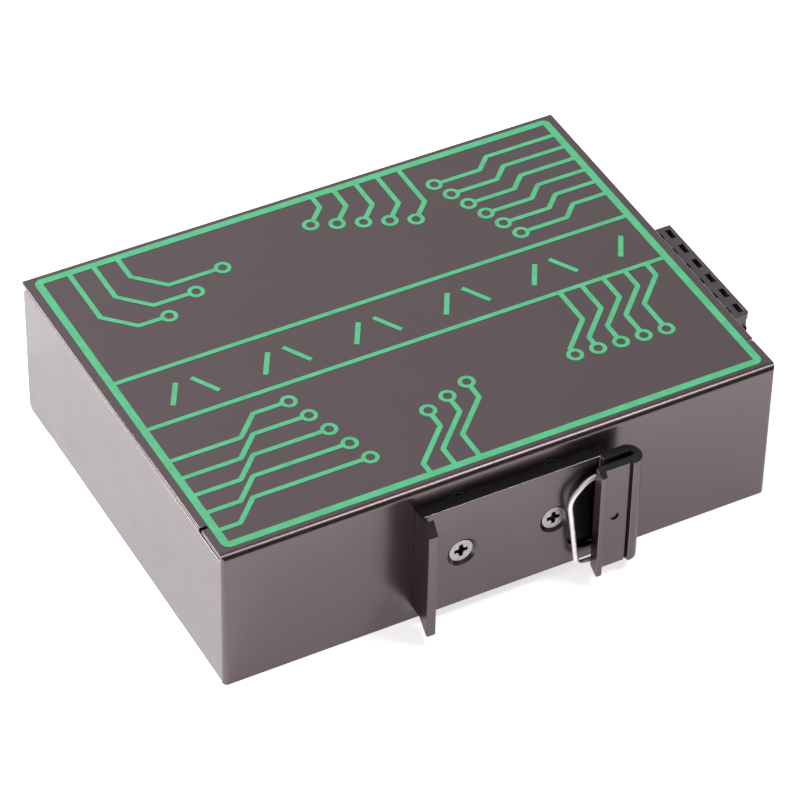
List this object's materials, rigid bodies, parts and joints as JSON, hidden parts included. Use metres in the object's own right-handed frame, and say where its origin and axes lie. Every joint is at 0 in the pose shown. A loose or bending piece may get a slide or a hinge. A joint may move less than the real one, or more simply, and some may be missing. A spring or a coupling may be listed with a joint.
{
  "type": "din rail ethernet switch",
  "caption": "Flat folded steel network switch with a clip for a 35 mm rail on one long edge, RJ45 ports on the other and a screw plug for power at one end.",
  "frame": {"origin": "middle of the case's plain side panel, on its outer face", "axes": "+X along the case to the power plug, +Y out of the port face, +Z out of the printed side panel; the rail clip is on the -Y face"},
  "size_m": [0.1253, 0.0966, 0.0323],
  "materials": {
    "case_paint": "fine matt black powder coat",
    "clip_metal": "black anodised, satin",
    "screw_steel": "bright zinc plate",
    "spring_steel": "bright drawn wire",
    "nut_steel": "zinc plate",
    "board": "green solder mask",
    "shield_steel": "tinned",
    "port_plastic": "black moulding",
    "contact_brass": "gold flash",
    "lamp_lens": "tinted lens",
    "chip_plastic": "moulded epoxy",
    "sink_metal": "black anodised",
    "can_metal": "bright can",
    "plug_plastic": "moulded, fine texture",
    "ink": "green screen print"
  },
  "bodies": {
    "root": {"cover_shell": "case_paint", "base_shell": "case_paint", "rail_clip": "clip_metal", "clip_screws": "screw_steel", "clip_nuts": "nut_steel", "spring_wire": "spring_steel", "spring_pin": "clip_metal", "case_screws": "screw_steel", "case_nuts": "nut_steel", "standoffs": "nut_steel", "board_screws": "screw_steel", "main_board": "board", "port_shields": "shield_steel", "port_housings": "port_plastic", "port_contacts": "contact_brass", "lamp_holder": "port_plastic", "lamps": "lamp_lens", "switch_chip": "chip_plastic", "heat_sink": "sink_metal", "crystal_can": "can_metal", "memory_chip": "chip_plastic", "regulator_chips": "chip_plastic", "coil_modules": "chip_plastic", "filter_capacitors": "can_metal", "input_fuse": "chip_plastic", "power_chokes": "chip_plastic", "plug_header": "plug_plastic", "header_pins": "screw_steel", "power_plug": "plug_plastic", "wire_clamps": "screw_steel", "plug_screws": "screw_steel", "ground_washer": "screw_steel", "ground_screw": "screw_steel", "ground_nut": "nut_steel", "side_print": "ink"}
  },
  "joints": []
}
